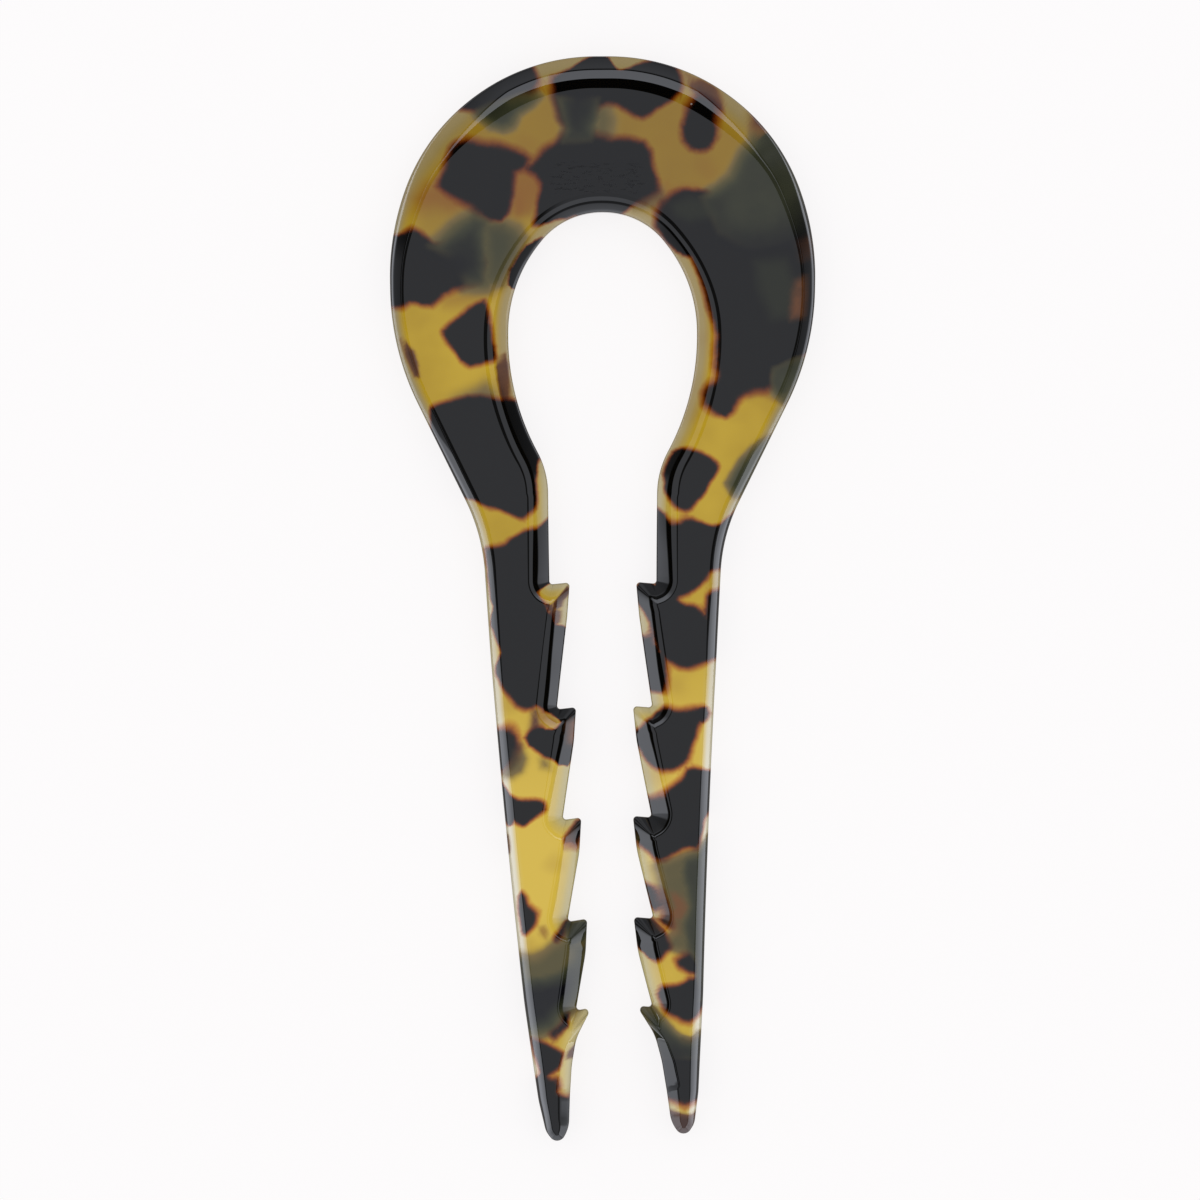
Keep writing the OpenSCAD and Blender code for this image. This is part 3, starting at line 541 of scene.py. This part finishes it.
    ("right_orange4", "glow", 0.60, 0.70, [(7.3, 25.6), (8.2, 25.8), (8.6, 24.8), (8.2, 23.4), (8.0, 22.0), (7.2, 21.8), (7.0, 23.2), (7.4, 24.5)]),
    ("right_flank4", "black", 1.00, 0.12, [(4.4, 27.0), (5.3, 26.6), (5.9, 26.3), (6.2, 26.1), (6.7, 24.8), (7.2, 23.4), (7.4, 22.7), (7.0, 22.6), (6.5, 23.2), (6.0, 23.6), (5.4, 24.5), (4.9, 25.6)]),
    ("right_tip4", "black", 1.00, 0.12, [(3.1, 23.2), (4.0, 23.8), (5.0, 23.4), (5.4, 23.2), (5.7, 22.5), (6.4, 22.0), (6.6, 21.3), (7.0, 20.4), (6.6, 19.9), (6.2, 19.3), (5.5, 19.0), (4.9, 19.2), (4.4, 19.8), (3.8, 20.4), (3.3, 21.6)]),
    ("right_tip4_smear", "glow", 0.80, 0.20, [(5.2, 23.3), (5.6, 23.2), (6.2, 22.5), (6.5, 21.8), (5.9, 22.0), (5.4, 22.6)]),
    ("right_chip5", "black", 1.00, 0.30, [(8.0, 18.9), (8.6, 19.3), (9.2, 19.5), (10.0, 19.5), (10.1, 17.7), (9.4, 17.7), (8.8, 18.1), (8.2, 18.4)]),
    ("right_chip6", "black", 1.00, 0.10, [(5.5, 16.3), (6.4, 16.0), (7.3, 16.1), (8.4, 16.4), (9.2, 16.8), (10.0, 17.0), (11.1, 16.8), (11.4, 15.6), (10.7, 14.4), (10.1, 13.5), (9.7, 12.8), (9.2, 12.5), (8.6, 12.7), (7.9, 13.1), (7.3, 13.4), (6.9, 13.6), (6.5, 14.2), (6.1, 15.0), (5.6, 15.7)]),
    ("right_olive7", "olive", 0.60, 0.50, [(2.9, 13.7), (4.0, 14.3), (5.3, 14.2), (5.9, 13.6), (6.5, 12.8), (7.3, 11.8), (8.2, 11.1), (9.2, 10.8), (10.3, 11.6), (11.1, 10.0), (9.2, 9.1), (6.1, 9.9), (4.8, 11.6), (4.0, 12.8)]),
    ("right_dark7", "olive", 1.05, 1.00, [(4.8, 12.4), (5.7, 13.2), (6.5, 12.5), (7.3, 11.5), (8.6, 10.4), (9.4, 10.3), (10.1, 11.1), (11.1, 10.9), (11.1, 8.4), (6.1, 8.4), (5.2, 10.9)]),
    ("right_low", "black", 1.00, 0.45, [(5.0, 11.6), (6.3, 10.8), (7.1, 10.1), (8.2, 9.9), (9.4, 9.7), (10.0, 10.5), (11.1, 10.7), (11.1, 8.4), (10.8, 5.2), (10.4, 4.3), (9.4, 4.1), (8.6, 3.9), (8.0, 4.2), (7.2, 4.4), (6.5, 4.8), (5.5, 7.3)]),
    ("right_tip", "brown", 0.90, 0.50, [(6.1, 3.3), (7.3, 3.0), (8.1, 2.8), (8.8, 2.6), (9.4, 2.6), (10.0, 3.1), (10.9, 3.8), (10.7, -0.7), (7.8, -1.3), (6.1, 1.0)]),
]


def chip_distance(corners_mm, p):
    """Signed distance from each point to a chip's outline, negative inside."""
    c = np.array(corners_mm, float)
    best = np.full(len(p), 1e9)
    inside = np.zeros(len(p), bool)
    for a, b in zip(c, np.roll(c, -1, 0)):
        ab = b - a
        t = np.clip(((p - a) @ ab) / (ab @ ab), 0, 1)
        q = p - a - t[:, None] * ab
        best = np.minimum(best, (q * q).sum(1))
        if a[1] != b[1]:
            hit = (a[1] > p[:, 1]) != (b[1] > p[:, 1])
            inside ^= hit & (p[:, 0] < a[0] + (p[:, 1] - a[1]) * ab[0] / ab[1])
    best = np.sqrt(best)
    return np.where(inside, -best, best)


def wander(p, scale, seed):
    """A smooth sideways shift of the chart, so that no chip's side is quite straight."""
    out = np.empty_like(p)
    for i, (x, y) in enumerate(p):
        out[i] = noise.noise((x / scale, y / scale, seed)), noise.noise((x / scale, y / scale, seed + 9.7))
    return out


chart = points[:, :2].copy()
chart += wander(chart, 1.7, 3.1) * 0.16 + wander(chart, 0.6, 7.7) * 0.07
near_chip = np.full(len(points), 3.0)
shade = {kind: np.zeros(len(points)) for kind in ("olive", "brown", "warm", "glow", "veil")}
for name, kind, strength, soft, corners_mm in CHIPS:
    d = chip_distance(corners_mm, chart)
    if kind == "black":
        # a soft outline is stretched, so that the same colours are passed more slowly
        near_chip = np.minimum(near_chip, np.where(d > 0, d / (1 + soft * 1.6), d / (1 + soft * 1.6)))
    else:
        f = np.clip(0.5 - d / (2 * max(soft, 0.12)), 0, 1)
        shade[kind] = np.maximum(shade[kind], f * f * (3 - 2 * f) * strength)

tree = kdtree.KDTree(n)
for i, p in enumerate(edge_loop):
    tree.insert((p[0], p[1], 0), i)
tree.balance()
found = [tree.find((x, y, 0))[1:] for x, y in points[:, :2]]
rim = np.array([f[1] for f in found])
bore = share_in[[f[0] for f in found]]

# ---------------------------------------------------------------- mesh
place = points.copy()
place[:, :2] = (place[:, :2] - centre) * fit
mesh = bpy.data.meshes.new("pin_polished")
mesh.from_pydata((place / 1000).tolist(), [], faces)
mesh.update()
mesh.validate()
for title, values in (("chip_d", near_chip), ("rim_d", rim), ("bore_k", bore), ("lip_shade_k", lip), *((kind + "_k", values) for kind, values in shade.items())):
    layer = mesh.attributes.new(title, "FLOAT", "POINT")
    layer.data.foreach_set("value", values.astype(np.float32))
for poly in mesh.polygons:
    poly.use_smooth = True
triangles = sum(len(poly.vertices) - 2 for poly in mesh.polygons)
if triangles > 190000:
    raise RuntimeError("the pin has %d triangles" % triangles)
print("triangles", triangles)
pin = bpy.data.objects.new("pin_polished", mesh)
scene.collection.objects.link(pin)


# ---------------------------------------------------------------- material
class Nodes:
    """Short hands for building a node tree."""

    def __init__(self, tree):
        self.tree = tree
        tree.nodes.clear()

    def add(self, kind, **values):
        node = self.tree.nodes.new(kind)
        for key, value in values.items():
            setattr(node, key, value)
        return node

    def link(self, a, b):
        self.tree.links.new(a, b)

    def put(self, socket, value):
        if isinstance(value, bpy.types.NodeSocket):
            self.link(value, socket)
        else:
            socket.default_value = value

    def math(self, op, a, b=0.0, c=0.0, clamp=False):
        node = self.add("ShaderNodeMath", operation=op, use_clamp=clamp)
        for k, v in enumerate((a, b, c)):
            self.put(node.inputs[k], v)
        return node.outputs[0]

    def attribute(self, title):
        return self.add("ShaderNodeAttribute", attribute_name=title).outputs["Fac"]

    def span(self, value, a, b, c=0.0, d=1.0, smooth=True):
        node = self.add("ShaderNodeMapRange", interpolation_type="SMOOTHSTEP" if smooth else "LINEAR")
        for k, v in enumerate((value, a, b, c, d)):
            self.put(node.inputs[k], v)
        return node.outputs[0]

    def mix(self, factor, a, b):
        node = self.add("ShaderNodeMix", data_type="RGBA")
        self.put(node.inputs[0], factor)
        self.put(node.inputs[6], a)
        self.put(node.inputs[7], b)
        return node.outputs[2]

    def ramp(self, value, stops, ease="LINEAR"):
        node = self.add("ShaderNodeValToRGB")
        node.color_ramp.interpolation = ease
        while len(node.color_ramp.elements) < len(stops):
            node.color_ramp.elements.new(0.5)
        for element, (where, colour) in zip(node.color_ramp.elements, stops):
            element.position = where
            element.color = (*colour, 1) if len(colour) == 3 else colour
        self.put(node.inputs[0], value)
        return node.outputs[0]

    def noise(self, vector, scale, detail=2.0, rough=0.5):
        node = self.add("ShaderNodeTexNoise")
        self.link(vector, node.inputs["Vector"])
        node.inputs["Scale"].default_value = scale
        node.inputs["Detail"].default_value = detail
        node.inputs["Roughness"].default_value = rough
        return node.outputs["Fac"]


def acetate():
    m = bpy.data.materials.new("tortoiseshell_acetate")
    m.use_nodes = True
    t = Nodes(m.node_tree)
    out = t.add("ShaderNodeOutputMaterial")
    p = t.add("ShaderNodeBsdfPrincipled")
    t.link(p.outputs[0], out.inputs[0])
    where = t.add("ShaderNodeTexCoord").outputs["Object"]
    up = t.add("ShaderNodeSeparateXYZ")
    t.link(where, up.inputs[0])

    # amber: slow clouds of honey and darker gold, lighter down the prongs, duller over the crown
    y_mm = t.math("MULTIPLY", up.outputs[1], 1000.0)
    cloud = t.noise(where, 95.0, 3.0)
    fine = t.noise(where, 420.0, 2.0)
    honey = t.mix(t.span(cloud, 0.35, 0.65), (0.41, 0.262, 0.011, 1), (0.50, 0.335, 0.020, 1))
    prong_k = t.math("MULTIPLY", t.span(y_mm, 4.0, -26.0), t.span(y_mm, -41.0, -32.0, 0.35, 1.0))
    honey = t.mix(prong_k, honey, (0.655, 0.465, 0.060, 1))
    rim_d = t.attribute("rim_d")
    bore_k = t.attribute("bore_k")
    crown_k = t.math("MULTIPLY", t.span(y_mm, 25.0, 45.0), t.span(rim_d, 0.6, 3.5, 0.55, 1.0))
    honey = t.mix(t.math("MULTIPLY", crown_k, t.span(cloud, 0.25, 0.75, 0.8, 1.0)), honey, (0.235, 0.135, 0.014, 1))
    warm_k = t.math("ADD", t.attribute("warm_k"), t.math("MULTIPLY", t.span(t.noise(where, 150.0, 1.0), 0.58, 0.76), 0.25))
    honey = t.mix(warm_k, honey, (0.22, 0.080, 0.010, 1))

    # painted light: near the rim the amber is painted paler, for the light that shines through the thin edge and
    # glances off it
    head_k = t.span(y_mm, 4.0, 14.0)
    top_k = t.span(y_mm, 38.0, 49.0)
    low_k = t.span(y_mm, 2.0, -22.0)
    outer_pale = t.mix(t.span(rim_d, 0.15, 1.0), (0.285, 0.240, 0.130, 1), (0.31, 0.220, 0.060, 1))
    top_pale = t.mix(t.span(rim_d, 0.15, 2.2), (0.265, 0.200, 0.080, 1), (0.215, 0.153, 0.030, 1))
    outer_pale = t.mix(top_k, outer_pale, top_pale)
    bore_pale = t.mix(t.span(rim_d, 0.5, 1.8), (0.345, 0.268, 0.118, 1), (0.32, 0.215, 0.060, 1))
    arm_pale = t.mix(t.span(rim_d, 0.3, 1.0), (0.44, 0.375, 0.200, 1), (0.44, 0.33, 0.08, 1))
    prong_pale = t.mix(t.span(rim_d, 0.5, 1.1), (0.60, 0.555, 0.400, 1), (0.62, 0.49, 0.16, 1))
    flank_pale = t.mix(t.span(rim_d, 0.2, 1.1), (0.50, 0.435, 0.215, 1), (0.56, 0.44, 0.13, 1))
    low_pale = t.mix(low_k, arm_pale, t.mix(bore_k, prong_pale, flank_pale))
    hole_k = t.span(y_mm, 10.0, 27.0)
    pale = t.mix(bore_k, t.mix(head_k, low_pale, outer_pale), t.mix(hole_k, low_pale, bore_pale))
    # painted light: how far in from the rim the paler colour is painted; it is mixed into the amber just below
    reach = t.math("ADD", t.math("MULTIPLY", bore_k, 0.45), t.math("ADD", 1.25, t.math("MULTIPLY", top_k, t.math("SUBTRACT", 1.3, t.math("MULTIPLY", bore_k, 1.0)))))
    thin = t.math("SUBTRACT", 1.0, t.span(t.math("DIVIDE", rim_d, reach), 0.35, 1.15))
    honey = t.mix(thin, honey, t.mix(t.math("MULTIPLY", warm_k, 0.7), pale, (0.22, 0.080, 0.010, 1)))

    # deep chips: amber dims through brown-olive to grey-olive, and to black where they are thick
    olive_k = t.attribute("olive_k")
    olive_n = t.math("DIVIDE", t.math("ADD", olive_k, t.math("MULTIPLY", t.math("SUBTRACT", fine, 0.5), t.math("MULTIPLY", olive_k, 0.14))), 1.3)
    deep = t.ramp(olive_n, [(0.0, (0.30, 0.19, 0.020)), (0.24, (0.160, 0.112, 0.036)), (0.42, (0.084, 0.071, 0.026)), (0.66, (0.036, 0.038, 0.018)), (0.84, (0.016, 0.018, 0.010)), (1.0, (0.002, 0.002, 0.003))])
    body = t.mix(t.span(olive_n, 0.0, 0.24), honey, deep)

    # brown smears
    brown_k = t.attribute("brown_k")
    smear = t.ramp(brown_k, [(0.0, (0.28, 0.12, 0.015)), (0.5, (0.105, 0.042, 0.018)), (1.0, (0.030, 0.013, 0.011))])
    body = t.mix(t.span(brown_k, 0.0, 0.5), body, smear)

    # crisp chips: in a narrow fringe their edge lets red and orange through, and then nothing; where a
    # deeper chip lies behind, the dark fades in slowly instead
    ragged = t.math("MULTIPLY", t.math("SUBTRACT", t.noise(where, 1500.0, 3.0, 0.6), 0.5), 0.16)
    breadth = t.math("ADD", 0.80, t.math("MULTIPLY", t.math("SUBTRACT", t.noise(where, 130.0, 1.0), 0.5), 1.6))
    breadth = t.math("SUBTRACT", breadth, t.math("MULTIPLY", thin, 0.30))
    broad = t.math("DIVIDE", t.math("ADD", t.attribute("chip_d"), ragged), breadth)
    through = t.ramp(t.span(broad, -0.25, 0.68, smooth=False), [
        (0.0, (0.002, 0.002, 0.003)), (0.11, (0.007, 0.004, 0.005)), (0.21, (0.05, 0.014, 0.012)), (0.31, (0.16, 0.045, 0.035)),
        (0.42, (0.35, 0.13, 0.10)), (0.53, (0.55, 0.27, 0.21)), (0.64, (0.71, 0.43, 0.34)), (0.75, (0.83, 0.62, 0.52)),
        (0.87, (0.93, 0.82, 0.77)), (1.0, (1, 1, 1))])
    inked = t.mix(1.0, body, through)
    inked.node.blend_type = "MULTIPLY"
    hazy = t.math("ADD", t.attribute("chip_d"), t.math("MULTIPLY", t.math("SUBTRACT", t.noise(where, 300.0, 2.0), 0.5), 1.3))
    plain = t.mix(t.span(hazy, 1.3, -1.5), body, (0.0014, 0.0014, 0.0017, 1))
    body = t.mix(t.span(olive_k, 0.35, 0.8), inked, plain)

    # haze and rust that lie nearer the surface than the dark
    body = t.mix(t.math("MULTIPLY", t.attribute("veil_k"), 0.6), body, (0.022, 0.026, 0.012, 1))
    body = t.mix(t.math("MULTIPLY", t.attribute("glow_k"), t.span(fine, 0.25, 0.6, 0.45, 0.85)), body, (0.165, 0.056, 0.014, 1))

    # dust: a few pale specks in the face
    dust = t.add("ShaderNodeTexVoronoi", feature="F1")
    t.link(where, dust.inputs["Vector"])
    dust.inputs["Scale"].default_value = 210.0
    pick = t.add("ShaderNodeSeparateXYZ")
    t.link(dust.outputs["Color"], pick.inputs[0])
    speck = t.math("MULTIPLY", t.span(dust.outputs["Distance"], 0.030, 0.012), t.span(pick.outputs[0], 0.955, 0.965))
    body = t.mix(t.math("MULTIPLY", speck, 0.5), body, (0.45, 0.43, 0.40, 1))
    # painted shade: the rounded top of the rim is painted as a thin dark line
    body = t.mix(t.math("MULTIPLY", t.attribute("lip_shade_k"), 0.6), body, (0.02, 0.014, 0.008, 1))

    # fine level pits in the front's face above the hole: sunk, dull and dark
    level_way = t.add("ShaderNodeCombineXYZ")
    t.link(t.math("MULTIPLY", up.outputs[0], 0.20), level_way.inputs[0])
    t.link(up.outputs[1], level_way.inputs[1])
    x_mm = t.math("MULTIPLY", up.outputs[0], 1000.0)
    pit_k = t.math("MULTIPLY", t.span(y_mm, 41.9, 43.6), t.span(y_mm, 46.9, 44.8))
    pit_k = t.math("MULTIPLY", pit_k, t.math("MULTIPLY", t.span(x_mm, -6.4, -4.2), t.span(x_mm, 5.4, 3.2)))
    pit_k = t.math("MULTIPLY", pit_k, t.span(t.math("MULTIPLY", up.outputs[2], 1000.0), 4.10, 4.15))
    pit_k = t.math("MULTIPLY", pit_k, t.span(t.noise(level_way.outputs[0], 3900.0, 3.0, 0.65), 0.552, 0.585))
    body = t.mix(t.math("MULTIPLY", pit_k, 0.85), body, (0.006, 0.006, 0.007, 1))
    t.link(body, p.inputs["Base Color"])

    # polish: a hard gloss with faint orange peel, and hair-fine scratches
    peel = t.noise(where, 520.0, 2.0, 0.5)
    grain = t.noise(where, 6000.0, 2.0, 0.5)
    t.link(t.math("ADD", t.span(grain, 0.3, 0.7, 0.006, 0.012), t.math("MULTIPLY", pit_k, 0.30)), p.inputs["Roughness"])
    height = t.math("ADD", t.math("MULTIPLY", peel, 1.0), t.math("MULTIPLY", grain, 0.03))
    height = t.math("SUBTRACT", height, t.math("MULTIPLY", pit_k, 0.25))
    bump = t.add("ShaderNodeBump")
    bump.inputs["Strength"].default_value = 0.05
    bump.inputs["Distance"].default_value = 0.000008
    t.link(height, bump.inputs["Height"])
    t.link(bump.outputs[0], p.inputs["Normal"])
    p.inputs["IOR"].default_value = 1.49
    p.inputs["Specular IOR Level"].default_value = 0.5
    return m


mesh.materials.append(acetate())
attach(pin, "root")
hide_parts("pin")

# ---------------------------------------------------------------- floor
floor_mesh = bpy.data.meshes.new("floor")
floor_mesh.from_pydata([(-3, -3, 0), (3, -3, 0), (3, 3, 0), (-3, 3, 0)], [], [(0, 1, 2, 3)])
floor = bpy.data.objects.new("floor", floor_mesh)
scene.collection.objects.link(floor)
fm = bpy.data.materials.new("pale_floor")
fm.use_nodes = True
t = Nodes(fm.node_tree)
out = t.add("ShaderNodeOutputMaterial")
p = t.add("ShaderNodeBsdfPrincipled")
p.inputs["Base Color"].default_value = (0.13, 0.129, 0.129, 1)
p.inputs["Roughness"].default_value = 0.9
p.inputs["Specular IOR Level"].default_value = 0.0
p.inputs["Emission Color"].default_value = (1.0, 0.985, 0.99, 1)
p.inputs["Emission Strength"].default_value = 0.852
t.link(p.outputs[0], out.inputs[0])
floor_mesh.materials.append(fm)

# ---------------------------------------------------------------- light
# A white studio dome. What the gloss mirrors of it is set apart from what lights the surfaces: a plain
# dim ceiling straight above, rings and a low horizon of light round it, with dark between them.
HEIGHT = 0.90
world = bpy.data.worlds.new("studio")
scene.world = world
world.use_nodes = True
world.cycles.sampling_method = "NONE"
t = Nodes(world.node_tree)
out = t.add("ShaderNodeOutputWorld")
back = t.add("ShaderNodeBackground")
t.link(back.outputs[0], out.inputs[0])
ray = t.add("ShaderNodeLightPath")
way = t.add("ShaderNodeTexCoord").outputs["Generated"]
axes = t.add("ShaderNodeSeparateXYZ")
t.link(way, axes.inputs[0])
dx, dy, dz = axes.outputs
angle = t.math("MULTIPLY", t.math("ARCCOSINE", dz), 180 / math.pi)  # from the zenith
part = t.math("DIVIDE", angle, 100.0)
side_rings = t.ramp(part, [(a, (v,) * 3) for a, v in (
    (0.062, 0.10), (0.160, 0.12), (0.180, 1.0), (0.290, 1.0), (0.320, 0.02), (0.500, 0.02), (0.550, 0.30),
    (0.660, 0.60), (0.740, 0.95), (0.800, 1.55), (0.830, 1.85), (0.860, 3.3), (0.870, 3.6), (0.885, 4.6), (0.930, 4.8))])
crown_rings = t.ramp(part, [(a, (v,) * 3) for a, v in (
    (0.062, 0.015), (0.160, 0.02), (0.180, 2.7), (0.290, 2.5), (0.320, 0.03), (0.500, 0.25), (0.560, 0.85),
    (0.700, 0.85), (0.780, 0.45), (0.860, 0.45), (0.930, 0.75))])
hole_rings = t.ramp(part, [(a, (v,) * 3) for a, v in (
    (0.062, 0.75), (0.160, 0.75), (0.180, 1.4), (0.290, 1.4), (0.320, 0.30), (0.480, 0.30), (0.560, 0.80),
    (0.680, 1.65), (0.800, 2.3), (0.930, 3.2))])
flat_way = t.math("SQRT", t.math("ADD", t.math("MULTIPLY", dx, dx), t.math("MULTIPLY", dy, dy)))
heading = t.math("DIVIDE", dy, t.math("MAXIMUM", flat_way, 0.0001))
shut = t.math("MULTIPLY", t.span(heading, 0.14, 0.32), t.math("MULTIPLY", t.span(angle, 48.0, 54.0), t.span(angle, 85.5, 82.5)))
side_rings = t.mix(t.math("MULTIPLY", shut, 0.75), side_rings, (0, 0, 0, 1))
low_side = t.math("MULTIPLY", t.span(heading, -0.01, -0.12), t.span(heading, -0.55, -0.42))
low_side = t.math("MULTIPLY", low_side, t.math("MULTIPLY", t.span(angle, 71.5, 73.5), t.span(angle, 85.6, 84.0)))
side_rings = t.mix(low_side, side_rings, (2.6, 2.6, 2.6, 1))
rings = t.mix(t.span(heading, 0.50, 0.86), side_rings, crown_rings)
rings = t.mix(t.span(heading, -0.65, -0.92), rings, hole_rings)
ceiling_k = t.span(angle, 5.6, 4.6)
gloss = t.mix(ceiling_k, rings, (0.80, 0.80, 0.80, 1))
gloss = t.mix(1.0, gloss, (0.955, 0.99, 1.085, 1))
gloss.node.blend_type = "MULTIPLY"
plain = t.add("ShaderNodeRGB")
plain.outputs[0].default_value = (1.0, 0.995, 1.0, 1)
light = t.mix(ray.outputs["Is Glossy Ray"], plain.outputs[0], gloss)
t.link(light, back.inputs[0])
back.inputs[1].default_value = 1.0

# ---------------------------------------------------------------- camera
MM_PER_PX = 0.10568
cam = bpy.data.cameras.new("camera")
cam.sensor_width = 36.0
cam.lens = 36.0 * (HEIGHT * 1000 - 2.9) / (1200 * MM_PER_PX)
cam.clip_start, cam.clip_end = 0.01, 20
camera = bpy.data.objects.new("camera", cam)
mid = (np.array([(600 - 602.6) * MM_PER_PX, (1139.5 - 600) * MM_PER_PX]) - centre) / 1000
camera.location = (mid[0], mid[1], HEIGHT)
scene.collection.objects.link(camera)
scene.camera = camera
scene.view_settings.view_transform = "Standard"
scene.view_settings.look = "None"
